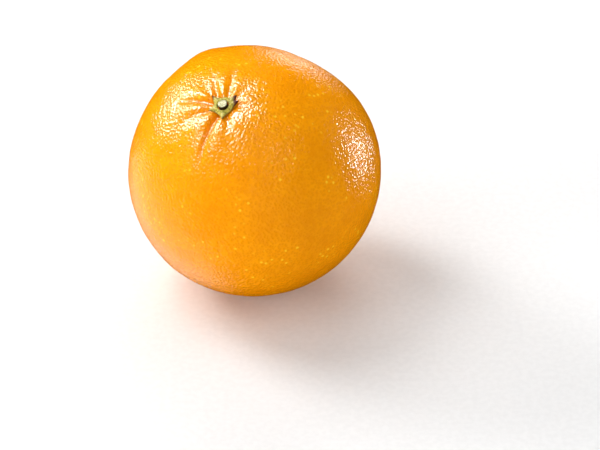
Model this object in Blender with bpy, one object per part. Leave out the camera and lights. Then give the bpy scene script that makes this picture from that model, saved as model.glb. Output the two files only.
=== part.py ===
"""A whole sweet orange, as picked, lying on the small flat spot that its own weight presses into it.

Three solids: the fruit, the calyx, which is the dry green star left at the stem end, and the stub of
the cut stem that stands in the star's middle.

Each is drawn upright about the fruit's core, with the stem end up and the fruit's centre at the
origin. A parent empty then tilts all three as the orange lies. World axes are in metres with +Z up,
and the world's origin is the centre of the resting spot.
"""

import math

import bmesh
import bpy
from mathutils import Vector

# Overall size.
EQUATOR_RADIUS = 0.0400
CORE_RADIUS = 0.0396  # centre to either end of the core, before the hollow and the scar

# How it lies.
STEM_LEAN = math.radians(27.3)  # the core's tilt from upright
LEAN_TOWARDS = math.radians(238.7)  # compass direction of the tilt, from +X towards +Y
FLAT_SPOT_DEPTH = 0.00055  # how far the resting spot is pressed in

# Stem end.
HOLLOW_DEPTH = 0.0014
HOLLOW_RADIUS = 0.0062

# Blossom end: a round scar where the flower's style dropped off.
SCAR_DEPTH = 0.0004
SCAR_RADIUS = 0.0026

# Calyx.
CALYX_BODY_RADIUS = 0.0031  # the star between its sepals
CALYX_THICKNESS = 0.0009
SEPAL_TIP_THICKNESS = 0.45  # share of the calyx's thickness left at a sepal's tip
SEPAL_HALF_ANGLE = math.radians(34)
SEPAL_SLIMNESS = 1.6  # 1 gives a sepal straight sides, and more draws them in

# Stem stub.
STUB_RADIUS = 0.00150
STUB_HEIGHT = 0.0019
STUB_EDGE = 0.00030  # rounding of the cut end

# Fits.
SKIN_GAP = 0.0003  # under the calyx and under the stub
STUB_CLEARANCE = 0.0003  # between the stub and the calyx round it

# Fineness of the meshes.
MERIDIANS = 64
RINGS = 44
POLE_CROWDING = 0.6  # 0 spaces the rings evenly, nearer 1 draws them towards both ends
CALYX_SEGMENTS = 50
CALYX_RINGS = 5
STUB_SEGMENTS = 20

# Creases that run out from the calyx. Directions are in degrees round the core, and a crease may
# drift from the first direction, at the calyx, to the second, at its far end. Then come how far it
# reaches from the core along the skin, and its depth.
CREASES = (
    (231, 241, 0.0215, 0.00105),
    (285, 276, 0.0105, 0.00055),
    (146, 157, 0.0195, 0.00095),
    (186, 188, 0.0170, 0.00075),
    (127, 126, 0.0135, 0.00040),
    (117, 95, 0.0175, 0.00075),
    (64, 77, 0.0160, 0.00070),
    (24, 34, 0.0120, 0.00050),
    (340, 356, 0.0090, 0.00050),
)
CREASE_HALF_WIDTH = 0.0011
CREASE_START = 0.0036  # distance from the core at which a crease is at full depth

# Gentle departures from a true spheroid: direction round the core and angle from the stem, both in
# degrees, then how far the swell spreads, in degrees, and its height. A negative height is a flat.
SWELLS = (
    (106, 57, 9, 0.0010),
    (52, 70.5, 26, -0.0014),
    (156, 66, 20, -0.0004),
    (222, 105, 20, 0.0003),
)

# Sepals: direction of each tip round the core, in degrees, and its distance from the core.
SEPALS = (
    (129, 0.0051),
    (188, 0.0047),
    (262, 0.0047),
    (6, 0.0048),
    (31, 0.0051),
)


def srgb_to_linear(hex_colour):
    """A colour written as sRGB hex, as the four linear values a shader takes."""
    channels = [int(hex_colour[i : i + 2], 16) / 255 for i in (0, 2, 4)]
    linear = [c / 12.92 if c <= 0.04045 else ((c + 0.055) / 1.055) ** 2.4 for c in channels]
    return (*linear, 1.0)


def plain_material(name, hex_colour, roughness):
    """A non-metallic material of one colour."""
    material = bpy.data.materials.new(name)
    material.use_nodes = True
    shader = material.node_tree.nodes["Principled BSDF"]
    shader.inputs["Base Color"].default_value = srgb_to_linear(hex_colour)
    shader.inputs["Roughness"].default_value = roughness
    shader.inputs["Metallic"].default_value = 0.0
    material.diffuse_color = srgb_to_linear(hex_colour)
    return material


def direction(around, from_stem):
    """The unit vector at a direction round the core and an angle from the stem, in radians."""
    flat = math.sin(from_stem)
    return Vector((flat * math.cos(around), flat * math.sin(around), math.cos(from_stem)))


def beside_stem(around, out):
    """The unit vector to a point of the hollow that lies this far out from the core's axis."""
    return direction(around, math.atan2(out, CORE_RADIUS - HOLLOW_DEPTH))


def bell(distance, spread):
    """1 in the middle, falling smoothly towards 0 beyond the spread."""
    return math.exp(-((distance / spread) ** 2))


def smooth_step(low, high, value):
    """0 up to low, 1 from high on, and an even curve between them."""
    share = min(max((value - low) / (high - low), 0.0), 1.0)
    return share * share * (3 - 2 * share)


def crease_depth(along, around):
    """How deep the creases cut at a distance from the core and a direction round it."""
    depth = 0.0
    for start, end, reach, deepest in CREASES:
        share = min(along / reach, 1.0)
        middle = math.radians(start + (end - start) * share)
        aside = math.remainder(around - middle, math.tau)
        if abs(aside) > math.pi / 2:
            continue
        lateral = along * math.sin(aside)
        fade = smooth_step(0, CREASE_START, along) * (1 - smooth_step(0.35 * reach, reach, along))
        depth += deepest * fade * bell(lateral, CREASE_HALF_WIDTH)
    return depth


def skin_radius(towards, creased=True):
    """Distance from the fruit's centre to its skin along a unit vector."""
    from_stem = towards.angle(Vector((0, 0, 1)))
    around = math.atan2(towards.y, towards.x)
    across = math.sin(from_stem) / EQUATOR_RADIUS
    along_core = math.cos(from_stem) / CORE_RADIUS
    radius = 1 / math.hypot(across, along_core)
    for swell_around, swell_from_stem, spread, height in SWELLS:
        middle = direction(math.radians(swell_around), math.radians(swell_from_stem))
        radius += height * bell(towards.angle(middle), math.radians(spread))
    along = CORE_RADIUS * from_stem
    radius -= HOLLOW_DEPTH * bell(along, HOLLOW_RADIUS)
    if creased:
        radius -= crease_depth(along, around)
    from_scar = CORE_RADIUS * (math.pi - from_stem)
    radius -= SCAR_DEPTH * bell(from_scar, SCAR_RADIUS)
    return radius


def finish_mesh(bm, name, material, sharp_angle):
    """Turn a bmesh into a named, smooth-shaded object with its material."""
    bmesh.ops.recalc_face_normals(bm, faces=bm.faces)
    mesh = bpy.data.meshes.new(name)
    bm.to_mesh(mesh)
    bm.free()
    mesh.shade_smooth()
    mesh.set_sharp_from_angle(angle=math.radians(sharp_angle))
    mesh.materials.append(material)
    obj = bpy.data.objects.new(name, mesh)
    bpy.context.scene.collection.objects.link(obj)
    return obj


def make_core():
    """The parent of all three pieces: upright core to tilted core."""
    core = bpy.data.objects.new("core", None)
    bpy.context.scene.collection.objects.link(core)
    core.rotation_mode = "QUATERNION"
    stem_direction = direction(LEAN_TOWARDS, STEM_LEAN)
    core.rotation_quaternion = Vector((0, 0, 1)).rotation_difference(stem_direction)
    return core


def press_flat_spot(bm, down):
    """Cut the resting spot square to down, and return its centre."""
    lowest = max(vert.co.dot(down) for vert in bm.verts)
    cut = down * (lowest - FLAT_SPOT_DEPTH)
    geometry = bm.verts[:] + bm.edges[:] + bm.faces[:]
    bmesh.ops.bisect_plane(bm, geom=geometry, plane_co=cut, plane_no=down, clear_outer=True)
    rim = [edge for edge in bm.edges if edge.is_boundary]
    spot = bmesh.ops.holes_fill(bm, edges=rim)["faces"][0]
    return spot.calc_center_median_weighted()


def make_fruit(core):
    """The whole fruit, peel and flesh in one solid, and the place of its resting spot."""
    bm = bmesh.new()
    bmesh.ops.create_uvsphere(bm, u_segments=MERIDIANS, v_segments=RINGS, radius=1)
    for vert in bm.verts:
        even = vert.co.angle(Vector((0, 0, 1)))
        crowded = even - POLE_CROWDING / 2 * math.sin(2 * even)
        towards = direction(math.atan2(vert.co.y, vert.co.x), crowded)
        vert.co = towards * skin_radius(towards)
    down = core.rotation_quaternion.inverted() @ Vector((0, 0, -1))
    spot_centre = press_flat_spot(bm, down)
    peel = plain_material("peel", "F08E04", 0.38)
    fruit = finish_mesh(bm, "fruit", peel, sharp_angle=40)
    return fruit, spot_centre


def star_reach(around):
    """How far the star's edge lies from the core in a direction round it."""
    reach = CALYX_BODY_RADIUS
    for tip_around, tip_reach in SEPALS:
        aside = abs(math.remainder(around - math.radians(tip_around), math.tau))
        share = max(1 - aside / SEPAL_HALF_ANGLE, 0.0) ** SEPAL_SLIMNESS
        reach = max(reach, CALYX_BODY_RADIUS + share * (tip_reach - CALYX_BODY_RADIUS))
    return reach


def make_calyx():
    """The star: a collar round the stub, with five sepals that lie on the skin."""
    bm = bmesh.new()
    hole = STUB_RADIUS + STUB_CLEARANCE
    outwards = bm.verts.layers.float.new("outwards")
    loops = []
    for ring in range(CALYX_RINGS + 1):
        made = bmesh.ops.create_circle(bm, segments=CALYX_SEGMENTS, radius=1)["verts"]
        for vert in made:
            around = math.atan2(vert.co.y, vert.co.x)
            vert[outwards] = ring / CALYX_RINGS
            reach = hole + (star_reach(around) - hole) * vert[outwards]
            towards = beside_stem(around, reach)
            vert.co = towards * (skin_radius(towards, creased=False) + SKIN_GAP)
        loops.append({edge for vert in made for edge in vert.link_edges})
    for inner, outer in zip(loops, loops[1:]):
        bmesh.ops.bridge_loops(bm, edges=list(inner | outer))
    raised = bmesh.ops.extrude_face_region(bm, geom=bm.faces[:], use_keep_orig=True)["geom"]
    for vert in raised:
        if isinstance(vert, bmesh.types.BMVert):
            thinned = (1 - SEPAL_TIP_THICKNESS) * vert[outwards] ** 2
            vert.co.z += CALYX_THICKNESS * (1 - thinned)
    dried_green = plain_material("calyx", "A8A040", 0.65)
    return finish_mesh(bm, "calyx", dried_green, sharp_angle=40)


def make_stem_stub():
    """The cut stem: a short round peg on the skin, inside the calyx's collar."""
    rim = beside_stem(0, STUB_RADIUS)
    middle = beside_stem(0, 0)
    seat = max(rim.z * skin_radius(rim, creased=False), skin_radius(middle, creased=False))
    bm = bmesh.new()
    bmesh.ops.create_cone(
        bm,
        cap_ends=True,
        segments=STUB_SEGMENTS,
        radius1=STUB_RADIUS,
        radius2=STUB_RADIUS,
        depth=STUB_HEIGHT,
    )
    cut_edges = [edge for edge in bm.edges if all(vert.co.z > 0 for vert in edge.verts)]
    bmesh.ops.bevel(bm, geom=cut_edges, offset=STUB_EDGE, segments=2, profile=0.5, affect="EDGES")
    bmesh.ops.translate(bm, vec=(0, 0, seat + SKIN_GAP + STUB_HEIGHT / 2), verts=bm.verts)
    cut_wood = plain_material("stem_stub", "D9DCC0", 0.7)
    return finish_mesh(bm, "stem_stub", cut_wood, sharp_angle=40)


def main():
    for obj in list(bpy.data.objects):
        bpy.data.objects.remove(obj, do_unlink=True)
    core = make_core()
    fruit, spot_centre = make_fruit(core)
    for piece in (fruit, make_calyx(), make_stem_stub()):
        piece.parent = core
    core.location = -(core.rotation_quaternion @ spot_centre)


main()
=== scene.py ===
"""Looks of a whole sweet orange: its waxy pitted peel, its dried green star and its cut stem.

Metres, +Z up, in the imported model's own frame: the orange rests at the origin on its flat spot.
Its pieces are drawn upright about the fruit's core, stem end up, and then turned to lie as the
model lies.
"""

import math

import bmesh
import bpy
import numpy as np
from mathutils import Matrix, Vector, noise


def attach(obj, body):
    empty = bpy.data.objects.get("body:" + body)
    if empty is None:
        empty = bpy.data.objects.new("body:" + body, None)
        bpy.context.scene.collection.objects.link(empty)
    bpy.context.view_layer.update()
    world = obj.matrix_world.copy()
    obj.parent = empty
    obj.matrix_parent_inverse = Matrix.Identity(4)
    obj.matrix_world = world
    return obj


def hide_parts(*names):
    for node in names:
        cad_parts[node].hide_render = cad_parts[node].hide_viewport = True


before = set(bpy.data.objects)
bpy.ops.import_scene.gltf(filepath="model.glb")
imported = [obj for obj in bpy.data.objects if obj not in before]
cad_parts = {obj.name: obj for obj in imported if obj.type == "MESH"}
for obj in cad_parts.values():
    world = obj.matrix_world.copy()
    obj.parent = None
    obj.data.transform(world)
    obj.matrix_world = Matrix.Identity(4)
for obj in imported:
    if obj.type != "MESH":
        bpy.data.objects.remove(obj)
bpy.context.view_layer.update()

# The fruit, the star and the stub, with the sizes that the model is made to. Only the sepals are
# drawn slimmer than the model's solid ones, and the creases a little narrower and off its line.
EQUATOR_RADIUS = 0.0400
CORE_RADIUS = 0.0396  # centre to either end of the core, before the hollow and the scar
STEM_LEAN = math.radians(27.3)  # the core's tilt from upright
LEAN_TOWARDS = math.radians(238.7)  # compass direction of the tilt, from +X towards +Y
HOLLOW_DEPTH = 0.0014
HOLLOW_RADIUS = 0.0062
SCAR_DEPTH = 0.0004  # at the blossom end, where the flower's style dropped off
SCAR_RADIUS = 0.0026
CALYX_BODY_RADIUS = 0.0031  # the star between its sepals
CALYX_THICKNESS = 0.0009
SEPAL_TIP_THICKNESS = 0.45  # share of the calyx's thickness left at a sepal's tip
SEPAL_HALF_ANGLE = math.radians(34)
SEPAL_SLIMNESS = 2.3  # 1 gives a sepal straight sides, and more draws them in
STUB_RADIUS = 0.00150
STUB_HEIGHT = 0.0019
STUB_EDGE = 0.0003  # rounding of the cut end
SKIN_GAP = 0.0003  # under the calyx and under the stub
STUB_CLEARANCE = 0.0003  # between the stub and the calyx round it

# Creases that run out from the calyx: direction in degrees at the calyx and at the far end, how far
# it reaches from the core along the skin, and its depth.
CREASES = (
    (231, 241, 0.0240, 0.00105),
    (285, 276, 0.0105, 0.00055),
    (149, 160, 0.0195, 0.00095),
    (186, 188, 0.0170, 0.00065),
    (127, 126, 0.0135, 0.00040),
    (117, 95, 0.0175, 0.00075),
    (64, 77, 0.0160, 0.00070),
    (24, 34, 0.0120, 0.00050),
    (340, 356, 0.0090, 0.00050),
)
CREASE_HALF_WIDTH = 0.0010
CREASE_START = 0.0036  # distance from the core at which a crease is at full depth
# The crease tint is painted shade, and the same share makes the wax a little duller.
CREASE_SHADE_AND_DULLING = 500.0  # tint for each metre of depth, so a crease a millimetre deep is half tinted
FOLD_FADE_FROM = 0.35  # share of its reach from which a crease or a ridge fades

# Puffed ridges between the creases, set out like them, with their height.
RIDGES = (
    (262, 246, 0.0225, 0.00070),
    (305, 288, 0.0140, 0.00050),
    (176, 168, 0.0230, 0.00075),
    (134, 144, 0.0220, 0.00060),
    (208, 210, 0.0210, 0.00070),
    (92, 88, 0.0190, 0.00070),
    (52, 55, 0.0170, 0.00060),
    (10, 10, 0.0160, 0.00040),
    (322, 330, 0.0130, 0.00040),
)
RIDGE_HALF_WIDTH = 0.0009
RIDGE_SPREAD = 0.16  # how much wider a ridge is for each step out
RIDGE_START = 0.0080  # distance from the core at which a ridge is at full height

# Gentle swells and flats: direction round the core and from the stem, spread, all degrees; height.
SWELLS = (
    (106, 57, 9, 0.0010),
    (52, 70.5, 26, -0.0014),
    (156, 66, 20, -0.0004),
    (222, 105, 20, 0.0003),
)

# Sepals: direction of each tip in degrees, its distance from the core, how far the tip curls up,
# and where along the sepal it starts to be brown, from 0 at the body to 1 at the tip.
SEPALS = (
    (129, 0.0051, 0.0004, 0.30),
    (188, 0.0047, 0.0001, 0.80),
    (262, 0.0047, 0.0001, 0.90),
    # The sepal at 6 degrees is brown from its body out: partly dried tissue, partly painted shade
    # on the star's right side.
    (6, 0.0048, 0.0004, -0.20),
    (31, 0.0051, 0.0004, 0.20),
)
CURL_SPREAD = 0.65  # share of a sepal's half angle over which its tip curls and browns
CURL_STEEPNESS = 1.5  # above 1, the curl gathers towards the tip
UNDERSIDE_CURL = 0.8  # share of the curl that the underside follows
BROWNING_LENGTH = 0.5  # share of a sepal over which green turns brown
# The star's brown edge is partly dried tissue and partly painted shade.
EDGE_BROWNING_AND_SHADE = 0.45  # how brown the star's edge is, where 1 is a tip's full brown
EDGE_BROWNING_AND_SHADE_FROM = 0.75  # share of the way out from the stub at which the edge starts to brown
KEEL_HALF_WIDTH = 0.00028
KEEL_SWEEP = math.pi / 3  # a keel shows only this far to either side of its sepal's middle
KEEL_HEIGHT = 0.00016
KEEL_PALENESS = 0.8  # how far a keel's colour is the pale one
COLLAR_RADIUS = 0.0023
COLLAR_HALF_WIDTH = 0.00025
COLLAR_HEIGHT = 0.00012
GROOVE_RADIUS = 0.0029
GROOVE_HALF_WIDTH = 0.0003
GROOVE_DEPTH = 0.00010
STAR_ROUNDING = 0.1  # share of the way out from the stub over which the star's edge rounds off
STAR_EDGE_THINNING = 0.97  # nearer 1 leaves a thinner edge

# Unevenness of the peel. A pit lies over each oil gland, and glands stand about a millimetre apart.
PORE_SPACING = 0.00085
PORE_FLOOR = 0.05  # a pit's flat floor ends at this share of the spacing from its middle
PORE_RIM = 0.8  # and its wall reaches the rim at this share
PORE_DEPTH_MODELLED = 0.00005
PORE_DEPTH_SHADED = 0.00009  # shaded on top of the modelled depth, for detail finer than the mesh
SKIN_INSET = 0.00005  # holds the rounded skin within the model's faceted one
LUMP_SIZE = 0.0045  # low lumps all over the peel
LUMP_HEIGHT = 0.00012
WRINKLE_HEIGHT = 0.00012
WRINKLE_SPOKES = 4  # more gives more wrinkles round the stem
WRINKLE_LENGTH = 0.006
WRINKLES_FROM = (0.005, 0.008)  # distances from the core where they start and are full
WRINKLES_TO = (0.010, 0.017)  # distances from the core where they start to fade and are gone
MOTTLE_SIZE = 0.011  # broad patches of a yellower orange, and of more specks
BLOTCH_SIZE = 0.0022  # small paler blotches
SPECK_SPACING = 0.0026  # pale yellow specks
SPECK_MIDDLE = 0.08  # a speck is at full strength up to this share of the spacing
SPECK_EDGE = 0.26  # and gone at this share

# Unevenness of the star and the stub. The tissue's real grain, about a tenth of a millimetre, is
# too fine to show, so it is drawn coarser.
TISSUE_GRAIN = 0.0006
TISSUE_RELIEF = 0.00008
CUT_SLOPE = 0.12  # the snip slopes, and stands higher on the side it leans to
CUT_FROM = 0.4  # share of the stub's height from which it takes up the slope of the cut
SIDE_SHRINKAGE = 0.03  # share of its radius by which the dried side has shrunk in places
BARE_WOOD = 0.85  # share of the stub's radius that is bare wood on the cut face

# Fineness of the meshes.
SKIN_SUBDIVISIONS = 8
CALYX_SIDES = 360
CALYX_RINGS = 40
STUB_SIDES = 64
STUB_FACE_RINGS = 12
STUB_SIDE_RINGS = 9
STUB_MIDDLE = 0.00005  # radius of the smallest ring on the cut face
STUB_EDGE_TURNS = (72, 54, 36, 18, 0)  # degrees round the cut's rounded edge

# Camera: it looks down on the fruit, and aims beside it and below it.
VIEW_ELEVATION = math.radians(35)
VIEW_DISTANCE = 1.05
LENS_MM = 200
AIM_RIGHT = 0.01416
AIM_BELOW = 0.01747
NEAREST_SEEN = 0.01

# Floor. Card's real fibres, a few hundredths of a millimetre wide, are too fine to show, so they
# are drawn coarser.
FLOOR_HALF_WIDTH = 4.0
CARD_FIBRE = 0.002

# Soft boxes: compass direction and height in degrees, distance, width, height, watts. The fills are
# polarised, so they light the skin but don't shine in its wax, and the others only shine in it.
FILLS = {
    "high_fill": (150, 58, 1.4, 0.7, 0.6, 6.8),
    "left_back_fill": (145, 28, 1.4, 0.6, 0.5, 11.5),
    "left_front_fill": (204, 51, 1.4, 0.6, 0.6, 2.5),
    "left_low_fill": (205, 15, 1.6, 0.9, 0.9, 11.5),
    "front_fill": (275, 16, 1.6, 0.9, 0.9, 6.0),
    "right_fill": (22, 12, 1.6, 0.9, 0.9, 8.5),
    "back_fill": (90, 36, 1.6, 1.2, 0.5, 9.0),
}
HIGHLIGHTS = {
    "high_shine": (157, 62, 1.4, 0.95, 0.78, 78.0),
    "left_back_shine": (145, 27, 1.4, 0.72, 0.56, 30.0),
    "left_front_shine": (204, 51, 1.4, 0.60, 0.50, 34.0),
    "right_shine": (23, -4, 1.4, 0.22, 0.58, 12.0),
    "back_shine": (76, 2, 1.4, 0.50, 0.45, 1.9),
    "front_glow": (298, 50, 1.4, 0.16, 0.15, 1.8),
    "left_sheen": (168, -43, 1.2, 1.90, 1.60, 9.5),
}
ROOM_STRENGTH = 0.4


# ---------------------------------------------------------------- shape


def direction(around, from_stem):
    """Unit vectors at directions round the core and angles from the stem, along the last axis."""
    flat = np.sin(from_stem)
    return np.stack([flat * np.cos(around), flat * np.sin(around), np.cos(from_stem)], axis=-1)


def bell(distance, spread):
    """1 in the middle, falling smoothly towards 0 beyond the spread."""
    return np.exp(-((distance / spread) ** 2))


def smooth_step(low, high, value):
    """0 up to low, 1 from high on, and an even curve between them."""
    share = np.clip((value - low) / (high - low), 0, 1)
    return share * share * (3 - 2 * share)


def turn_between(angle, other):
    """The signed turn from one direction to another, within half a turn."""
    return (angle - other + math.pi) % math.tau - math.pi


def folds(rows, half_width, start, along, around):
    """Summed size of folds that run out from the calyx, this far along the skin and round it."""
    total = np.zeros_like(along)
    for first, last, reach, size in rows:
        share = np.minimum(along / reach, 1)
        aside = turn_between(around, np.radians(first + (last - first) * share))
        lateral = along * np.sin(np.clip(aside, -math.pi / 2, math.pi / 2))
        fade = smooth_step(0, start, along)
        fade *= 1 - smooth_step(FOLD_FADE_FROM * reach, reach, along)
        total += size * fade * bell(lateral, half_width)
    return total


def skin_radius(towards):
    """Distance from the fruit's centre to its skin along unit vectors, before any crease."""
    from_stem = np.arccos(np.clip(towards[..., 2], -1, 1))
    radius = 1 / np.hypot(np.sin(from_stem) / EQUATOR_RADIUS, np.cos(from_stem) / CORE_RADIUS)
    for swell_around, swell_from_stem, spread, height in SWELLS:
        middle = direction(np.radians(swell_around), np.radians(swell_from_stem))
        apart = np.arccos(np.clip(towards @ middle, -1, 1))
        radius += height * bell(apart, np.radians(spread))
    radius -= HOLLOW_DEPTH * bell(CORE_RADIUS * from_stem, HOLLOW_RADIUS)
    radius -= SCAR_DEPTH * bell(CORE_RADIUS * (math.pi - from_stem), SCAR_RADIUS)
    return radius


def beside_stem(around, out):
    """Unit vectors to points of the hollow that lie this far out from the core's axis."""
    return direction(around, np.arctan2(out, CORE_RADIUS - HOLLOW_DEPTH))


def stub_seat():
    """How far from the fruit's centre the foot of the stem's stub stands."""
    rim, middle = beside_stem(np.zeros(2), np.array([STUB_RADIUS, 0]))
    return max(rim[2] * skin_radius(rim), skin_radius(middle)) + SKIN_GAP


def upright_to_lying():
    """The matrix that lays upright pieces as the model lies, found from the model's stem stub."""
    stem = Vector(direction(LEAN_TOWARDS, STEM_LEAN))
    points = [vert.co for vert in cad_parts["stem_stub"].data.vertices]
    middle = sum(points, Vector()) / len(points)
    foot = min(point.dot(stem) for point in points)
    centre = middle - stem * (middle.dot(stem) - foot + stub_seat())
    turn = Vector((0, 0, 1)).rotation_difference(stem)
    return Matrix.Translation(centre) @ turn.to_matrix().to_4x4()


def unevenness(points, size):
    """Smooth noise from -1 to 1 at each point, for the unevenness of grown things."""
    flat = points.reshape(-1, 3) / size
    return np.array([noise.noise(Vector(point)) for point in flat]).reshape(points.shape[:-1])


def lay(points):
    """Upright points as they lie in the world."""
    return points @ np.array(LIE.to_3x3()).T + np.array(LIE.translation)


def ring_mesh(name, rings, loops_back):
    """A mesh through rings of points: a closed tube if it loops back, or with its ends shut."""
    count, sides = rings.shape[:2]
    here = np.arange(count * sides).reshape(count, sides)
    beside = np.roll(here, -1, axis=1)
    above = np.roll(here, -1, axis=0)
    above_beside = np.roll(beside, -1, axis=0)
    quads = np.stack([here, above, above_beside, beside], axis=-1)
    faces = quads if loops_back else quads[:-1]
    faces = faces.reshape(-1, 4).tolist()
    if not loops_back:
        faces += [here[0].tolist(), here[-1][::-1].tolist()]
    mesh = bpy.data.meshes.new(name)
    mesh.from_pydata(lay(rings).reshape(-1, 3), [], faces)
    return mesh


def store_on_points(mesh, name, values):
    """Keep one number for each point of a mesh, for its material to read."""
    attribute = mesh.attributes.new(name, "FLOAT", "POINT")
    attribute.data.foreach_set("value", np.asarray(values, np.float32).ravel())


def link_piece(name, mesh, material, node):
    """Put a finished mesh in the scene as the piece that stands for a node of the model."""
    mesh.shade_smooth()
    mesh.materials.append(material)
    piece = bpy.data.objects.new(name, mesh)
    bpy.context.scene.collection.objects.link(piece)
    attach(piece, "root")
    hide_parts(node)
    return piece


# ---------------------------------------------------------------- materials


def linear(hex_colour):
    """A colour written as sRGB hex, as the four linear values a shader takes."""
    channels = [int(hex_colour[i : i + 2], 16) / 255 for i in (0, 2, 4)]
    return (*[c / 12.92 if c <= 0.04045 else ((c + 0.055) / 1.055) ** 2.4 for c in channels], 1.0)


def add_node(tree, kind, settings=None, inputs=None, output=None):
    """Add a node with its settings and its inputs, each a value or an output to link.

    Inputs go by identifier. It gives the named output, or else the first one in use.
    """
    node = tree.nodes.new(kind)
    for name, value in (settings or {}).items():
        setattr(node, name, value)
    sockets = {socket.identifier: socket for socket in node.inputs}
    for name, value in (inputs or {}).items():
        if isinstance(value, bpy.types.NodeSocket):
            tree.links.new(value, sockets[name])
        else:
            sockets[name].default_value = value
    if output:
        return node.outputs[output]
    return next((socket for socket in node.outputs if socket.enabled), None)


def new_material(name):
    """An empty node material, and its tree."""
    material = bpy.data.materials.new(name)
    material.use_nodes = True
    material.node_tree.nodes.clear()
    return material, material.node_tree


def pore_pits(tree, place, most):
    """The most in the middle of each oil-gland pit, down to 0 on the rims between them."""
    cells = add_node(
        tree,
        "ShaderNodeTexVoronoi",
        {"feature": "F1"},
        {"Vector": place, "Scale": 1 / PORE_SPACING},
    )
    return add_node(
        tree,
        "ShaderNodeMapRange",
        {"interpolation_type": "SMOOTHSTEP"},
        {
            "Value": cells,
            "From Min": PORE_FLOOR,
            "From Max": PORE_RIM,
            "To Min": most,
            "To Max": 0.0,
        },
    )


def patches(tree, place, size, detail, low, high, most=1.0):
    """Soft patches of about one size, from 0 to the most: low and high set how much shows."""
    cloud = add_node(
        tree,
        "ShaderNodeTexNoise",
        None,
        {"Vector": place, "Scale": 1 / size, "Detail": detail},
        "Fac",
    )
    return add_node(
        tree,
        "ShaderNodeMapRange",
        {"interpolation_type": "SMOOTHSTEP"},
        {"Value": cloud, "From Min": low, "From Max": high, "To Min": 0.0, "To Max": most},
    )


def coats_of_colour(tree, colour, coats):
    """Lay coats over a colour, one on the other, each as strong as its share."""
    for share, coat in coats:
        colour = add_node(
            tree,
            "ShaderNodeMix",
            {"data_type": "RGBA"},
            {"Factor_Float": share, "A_Color": colour, "B_Color": coat},
        )
    return colour


def finish_material(material, tree, inputs):
    """Give the material its shader, and join that to its output."""
    shader = add_node(tree, "ShaderNodeBsdfPrincipled", None, inputs)
    add_node(tree, "ShaderNodeOutputMaterial", None, {"Surface": shader})
    return material


def waxy_orange_peel():
    """Orange peel, grown: a clear wax over oil glands.

    It gives bright highlights, broken up by the pits and a little duller in the creases, which are
    painted a deeper orange as shade.
    """
    material, tree = new_material("waxy_orange_peel")
    place = add_node(tree, "ShaderNodeTexCoord", output="Object")
    pits = pore_pits(tree, place, 1.0)
    mottle = patches(tree, place, MOTTLE_SIZE, 3.0, 0.35, 0.65)
    blotches = patches(tree, place, BLOTCH_SIZE, 2.0, 0.35, 0.65, 0.3)
    crease = add_node(tree, "ShaderNodeAttribute", {"attribute_name": "crease"}, output="Fac")
    near_speck = add_node(
        tree,
        "ShaderNodeTexVoronoi",
        {"feature": "F1"},
        {"Vector": place, "Scale": 1 / SPECK_SPACING},
    )
    specks = add_node(
        tree,
        "ShaderNodeMapRange",
        {"interpolation_type": "SMOOTHSTEP"},
        {
            "Value": near_speck,
            "From Min": SPECK_MIDDLE,
            "From Max": SPECK_EDGE,
            "To Min": patches(tree, place, MOTTLE_SIZE, 2.0, 0.5, 0.6, 0.8),
            "To Max": 0.0,
        },
    )
    colour = coats_of_colour(
        tree,
        linear("EC8E00"),
        (
            (mottle, linear("F59800")),
            (blotches, linear("FAA60A")),
            (pits, linear("EC8E00")),
            # painted shade: the creases are coloured a deeper orange
            (crease, linear("DC7000")),
            (specks, linear("FFCC2E")),
        ),
    )
    roughness = add_node(
        tree, "ShaderNodeMapRange", None, {"Value": crease, "To Min": 0.15, "To Max": 0.2}
    )
    normal = add_node(
        tree, "ShaderNodeBump", {"invert": True}, {"Height": pits, "Distance": PORE_DEPTH_SHADED}
    )
    return finish_material(
        material,
        tree,
        {
            "Base Color": colour,
            "Roughness": roughness,
            "IOR": 1.38,
            "Specular IOR Level": 0.4,
            "Normal": normal,
        },
    )


def dried_sepal():
    """Sepal tissue, grown and half dried: dull green, pale along the keels, brown at the tips, and
    browner at the edge, partly painted shade.
    """
    material, tree = new_material("dried_sepal")
    place = add_node(tree, "ShaderNodeTexCoord", output="Object")
    grain = patches(tree, place, TISSUE_GRAIN, 4.0, 0.35, 0.65)
    keel = add_node(tree, "ShaderNodeAttribute", {"attribute_name": "keel"}, output="Fac")
    browning_and_shade = add_node(tree, "ShaderNodeAttribute", {"attribute_name": "browning_and_shade"}, output="Fac")
    colour = coats_of_colour(
        tree,
        linear("8A8128"),
        # the brown is dried tissue at the tips, and partly painted shade at the edge and on the
        # right-hand sepal
        ((grain, linear("C8B84C")), (keel, linear("DDD28A")), (browning_and_shade, linear("54281C"))),
    )
    normal = add_node(tree, "ShaderNodeBump", None, {"Height": grain, "Distance": TISSUE_RELIEF})
    return finish_material(
        material,
        tree,
        {
            "Base Color": colour,
            "Roughness": 0.6,
            "IOR": 1.45,
            "Specular IOR Level": 0.1,
            "Normal": normal,
        },
    )


def cut_green_wood():
    """Stem wood, snipped: a pale dull face with a darker grain, and a brown corky side, partly
    painted shade.
    """
    material, tree = new_material("cut_green_wood")
    place = add_node(tree, "ShaderNodeTexCoord", output="Object")
    grain = patches(tree, place, TISSUE_GRAIN, 4.0, 0.35, 0.6)
    side = add_node(tree, "ShaderNodeAttribute", {"attribute_name": "corky_side_and_shade"}, output="Fac")
    colour = coats_of_colour(
        # the side's dark brown is partly the bark's own and partly painted shade of the gap round
        # the stub
        tree, linear("A9A670"), ((grain, linear("D9D6B2")), (side, linear("33240F")))
    )
    normal = add_node(tree, "ShaderNodeBump", None, {"Height": grain, "Distance": TISSUE_RELIEF})
    return finish_material(
        material,
        tree,
        {
            "Base Color": colour,
            "Roughness": 0.55,
            "IOR": 1.45,
            "Specular IOR Level": 0.1,
            "Normal": normal,
        },
    )


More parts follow.
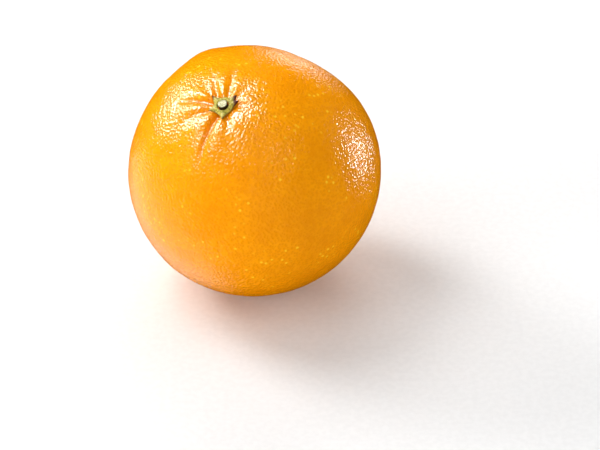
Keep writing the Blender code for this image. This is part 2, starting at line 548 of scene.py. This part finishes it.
def white_card():
    """Matt white paper card, rolled: an even pale ground with a trace of fibre."""
    material, tree = new_material("white_card")
    place = add_node(tree, "ShaderNodeTexCoord", output="Object")
    fibre = patches(tree, place, CARD_FIBRE, 3.0, 0.3, 0.7)
    colour = coats_of_colour(tree, linear("E0E0E0"), ((fibre, linear("E4E4E4")),))
    return finish_material(
        material, tree, {"Base Color": colour, "Roughness": 0.9, "Specular IOR Level": 0.0}
    )


# ---------------------------------------------------------------- pieces


def relief_of_growth():
    """The node group that sinks oil-gland pits, and hollows between low lumps, into the skin."""
    tree = bpy.data.node_groups.new("relief_of_growth", "GeometryNodeTree")
    for way in ("INPUT", "OUTPUT"):
        tree.interface.new_socket("Geometry", in_out=way, socket_type="NodeSocketGeometry")
    mesh = tree.nodes.new("NodeGroupInput").outputs[0]
    place = add_node(tree, "GeometryNodeInputPosition")
    pits = pore_pits(tree, place, -PORE_DEPTH_MODELLED)
    lumps = patches(tree, place, LUMP_SIZE, 1.0, 0.2, 0.8, -LUMP_HEIGHT)
    depth = add_node(
        tree, "ShaderNodeMath", {"operation": "ADD"}, {"Value": pits, "Value_001": lumps}
    )
    outward = add_node(tree, "GeometryNodeInputNormal")
    offset = add_node(
        tree, "ShaderNodeVectorMath", {"operation": "SCALE"}, {"Vector": outward, "Scale": depth}
    )
    moved = add_node(tree, "GeometryNodeSetPosition", None, {"Geometry": mesh, "Offset": offset})
    tree.links.new(moved, tree.nodes.new("NodeGroupOutput").inputs[0])
    return tree


def make_skin():
    """The whole fruit's skin: creases and puffed ridges round the stem, and lumps and pits."""
    bm = bmesh.new()
    bmesh.ops.create_icosphere(bm, subdivisions=SKIN_SUBDIVISIONS, radius=1)
    mesh = bpy.data.meshes.new("skin")
    bm.to_mesh(mesh)
    bm.free()
    towards = np.empty(len(mesh.vertices) * 3, np.float32)
    mesh.vertices.foreach_get("co", towards)
    towards = towards.reshape(-1, 3).astype(np.float64)
    towards /= np.linalg.norm(towards, axis=1, keepdims=True)
    along = CORE_RADIUS * np.arccos(np.clip(towards[:, 2], -1, 1))
    around = np.arctan2(towards[:, 1], towards[:, 0])
    crease = folds(CREASES, CREASE_HALF_WIDTH, CREASE_START, along, around)
    ridge = folds(RIDGES, RIDGE_HALF_WIDTH + RIDGE_SPREAD * along, RIDGE_START, along, around)
    radius = skin_radius(towards) - crease + ridge - SKIN_INSET
    near = np.flatnonzero(along < WRINKLES_TO[1])
    spokes = np.stack(
        [
            WRINKLE_SPOKES * np.cos(around),
            WRINKLE_SPOKES * np.sin(around),
            along / WRINKLE_LENGTH,
        ],
        axis=-1,
    )[near]
    fade = smooth_step(*WRINKLES_FROM, along) * (1 - smooth_step(*WRINKLES_TO, along))
    radius[near] += WRINKLE_HEIGHT * fade[near] * unevenness(spokes, 1)
    lying = lay(towards * radius[:, None])
    lying[:, 2] = np.maximum(lying[:, 2], 0)
    mesh.vertices.foreach_set("co", lying.astype(np.float32).ravel())
    # the crease's depth, which the peel reads as painted shade and as duller wax
    store_on_points(mesh, "crease", CREASE_SHADE_AND_DULLING * crease)
    piece = link_piece("skin", mesh, waxy_orange_peel(), "fruit")
    piece.modifiers.new("relief", "NODES").node_group = relief_of_growth()


def star_reach(around):
    """How far the star's edge lies from the core in directions round it."""
    reach = np.full_like(around, CALYX_BODY_RADIUS)
    for tip_around, tip_reach, _, _ in SEPALS:
        aside = np.abs(turn_between(around, math.radians(tip_around)))
        share = np.maximum(1 - aside / SEPAL_HALF_ANGLE, 0) ** SEPAL_SLIMNESS
        reach = np.maximum(reach, CALYX_BODY_RADIUS + share * (tip_reach - CALYX_BODY_RADIUS))
    return reach


def make_calyx():
    """The dried star: a collar round the stub, and sepals with a keel and a curled, browned tip."""
    around = np.linspace(0, math.tau, CALYX_SIDES, endpoint=False)
    share = np.linspace(0, 1, CALYX_RINGS)[:, None]
    hole = STUB_RADIUS + STUB_CLEARANCE
    out = hole + (star_reach(around)[None, :] - hole) * share
    around = np.broadcast_to(around, out.shape)
    curl = np.zeros_like(out)
    browning_and_shade = np.zeros_like(out)
    keel = np.zeros_like(out)
    for tip_around, tip_reach, tip_curl, dry_from in SEPALS:
        aside = turn_between(around, math.radians(tip_around))
        tip = np.clip((out - CALYX_BODY_RADIUS) / (tip_reach - CALYX_BODY_RADIUS), -1, 1)
        near = bell(aside, SEPAL_HALF_ANGLE * CURL_SPREAD)
        curl += tip_curl * near * np.maximum(tip, 0) ** CURL_STEEPNESS
        browning_and_shade += near * smooth_step(dry_from, dry_from + BROWNING_LENGTH, tip)
        ahead = np.abs(aside) < KEEL_SWEEP
        keel += ahead * bell(out * np.sin(aside), KEEL_HALF_WIDTH) * (1 - np.maximum(tip, 0))
    keel *= smooth_step(COLLAR_RADIUS, CALYX_BODY_RADIUS, out)
    # a browner edge all round: partly dried tissue, partly painted shade
    browning_and_shade += EDGE_BROWNING_AND_SHADE * smooth_step(EDGE_BROWNING_AND_SHADE_FROM, 1, share)
    towards = beside_stem(around, out)
    under = towards * (skin_radius(towards) + SKIN_GAP)[..., None]
    grain = unevenness(under, TISSUE_GRAIN)
    thick = CALYX_THICKNESS * (1 - (1 - SEPAL_TIP_THICKNESS) * share**2)
    collar = bell(out - COLLAR_RADIUS, COLLAR_HALF_WIDTH)
    groove = bell(out - GROOVE_RADIUS, GROOVE_HALF_WIDTH)
    relief = KEEL_HEIGHT * keel + COLLAR_HEIGHT * collar - GROOVE_DEPTH * groove
    relief += TISSUE_RELIEF * grain
    into_edge = np.clip(1 - (1 - share) / STAR_ROUNDING, 0, 1)
    rounded = np.sqrt(1 - STAR_EDGE_THINNING * into_edge**2)
    over = under.copy()
    over[..., 2] += (thick + relief) * rounded + curl
    under[..., 2] += UNDERSIDE_CURL * curl
    mesh = ring_mesh("calyx_star", np.concatenate([over, under[::-1]]), loops_back=True)
    store_on_points(mesh, "browning_and_shade", np.minimum(np.concatenate([browning_and_shade, browning_and_shade[::-1]]), 1))
    store_on_points(mesh, "keel", KEEL_PALENESS * np.concatenate([keel, keel[::-1]]))
    link_piece("calyx_star", mesh, dried_sepal(), "calyx")


def make_stub():
    """The cut stem: a short peg with a sloping, uneven cut face and a corky side."""
    around = np.linspace(0, math.tau, STUB_SIDES, endpoint=False)
    face_radii = np.linspace(STUB_MIDDLE, STUB_RADIUS - STUB_EDGE, STUB_FACE_RINGS)
    face = [(radius, STUB_HEIGHT) for radius in face_radii]
    edge = [
        (
            STUB_RADIUS - STUB_EDGE * (1 - math.cos(math.radians(angle))),
            STUB_HEIGHT - STUB_EDGE * (1 - math.sin(math.radians(angle))),
        )
        for angle in STUB_EDGE_TURNS
    ]
    side_heights = np.linspace(STUB_HEIGHT - STUB_EDGE, 0, STUB_SIDE_RINGS + 1)[1:]
    side = [(STUB_RADIUS, height) for height in side_heights]
    radius, height = np.array(face + edge + side).T[:, :, None]
    rings = np.stack(
        np.broadcast_arrays(radius * np.cos(around), radius * np.sin(around), height), axis=-1
    )
    grain = unevenness(rings, TISSUE_GRAIN)
    raised = smooth_step(CUT_FROM * STUB_HEIGHT, STUB_HEIGHT, height)
    ahead = radius * np.cos(around - LEAN_TOWARDS)
    rings[..., 2] += raised * (TISSUE_RELIEF * grain + CUT_SLOPE * ahead) + stub_seat()
    rings[..., :2] *= (1 - SIDE_SHRINKAGE * np.abs(grain))[..., None]
    mesh = ring_mesh("cut_stem", rings, loops_back=False)
    # all but the bare wood of the cut face takes the dark side colour: bark and painted shade
    bare = smooth_step(STUB_RADIUS, BARE_WOOD * STUB_RADIUS, radius)
    bare *= height > STUB_HEIGHT - STUB_EDGE
    store_on_points(mesh, "corky_side_and_shade", np.broadcast_to(1 - bare, grain.shape))
    link_piece("cut_stem", mesh, cut_green_wood(), "stem_stub")


# ---------------------------------------------------------------- stage


def make_camera():
    """A long lens from the front, looking down at the fruit."""
    centre = LIE.translation
    right = Vector((1, 0, 0))
    back = Vector((0, -math.cos(VIEW_ELEVATION), math.sin(VIEW_ELEVATION)))
    up = back.cross(right)
    data = bpy.data.cameras.new("camera")
    data.lens = LENS_MM
    data.clip_start = NEAREST_SEEN
    camera = bpy.data.objects.new("camera", data)
    camera.location = centre + back * VIEW_DISTANCE
    aim = centre + right * AIM_RIGHT - up * AIM_BELOW
    camera.rotation_euler = (aim - camera.location).to_track_quat("-Z", "Y").to_euler()
    bpy.context.scene.collection.objects.link(camera)
    bpy.context.scene.camera = camera


def soft_box(name, place, in_highlights):
    """A flat oval studio light that faces the fruit."""
    compass, elevation, distance, width, height, watts = place
    data = bpy.data.lights.new(name, "AREA")
    data.shape = "ELLIPSE"
    data.size = width
    data.size_y = height
    data.energy = watts
    light = bpy.data.objects.new(name, data)
    away = Vector(direction(np.radians(compass), np.radians(90 - elevation)))
    light.location = LIE.translation + away * distance
    light.rotation_euler = (-away).to_track_quat("-Z", "Y").to_euler()
    light.visible_camera = False
    light.visible_glossy = in_highlights
    light.visible_diffuse = not in_highlights
    bpy.context.scene.collection.objects.link(light)


def make_floor():
    """A wide sheet of white card, which the lights that shine from below pass through."""
    bm = bmesh.new()
    bmesh.ops.create_grid(bm, x_segments=1, y_segments=1, size=FLOOR_HALF_WIDTH)
    mesh = bpy.data.meshes.new("floor")
    bm.to_mesh(mesh)
    bm.free()
    mesh.materials.append(white_card())
    floor = bpy.data.objects.new("floor", mesh)
    bpy.context.scene.collection.objects.link(floor)
    floor.visible_glossy = False
    floor.visible_shadow = False


def light_room():
    """An even pale room that lights the fruit from all round but doesn't shine in its wax."""
    world = bpy.data.worlds.new("room")
    world.use_nodes = True
    ground = world.node_tree.nodes["Background"]
    ground.inputs["Color"].default_value = (1, 1, 1, 1)
    ground.inputs["Strength"].default_value = ROOM_STRENGTH
    world.cycles_visibility.glossy = False
    bpy.context.scene.world = world
    bpy.context.scene.view_settings.view_transform = "Standard"


LIE = upright_to_lying()
make_skin()
make_calyx()
make_stub()
make_camera()
make_floor()
light_room()
for box_name, box_place in FILLS.items():
    soft_box(box_name, box_place, in_highlights=False)
for box_name, box_place in HIGHLIGHTS.items():
    soft_box(box_name, box_place, in_highlights=True)
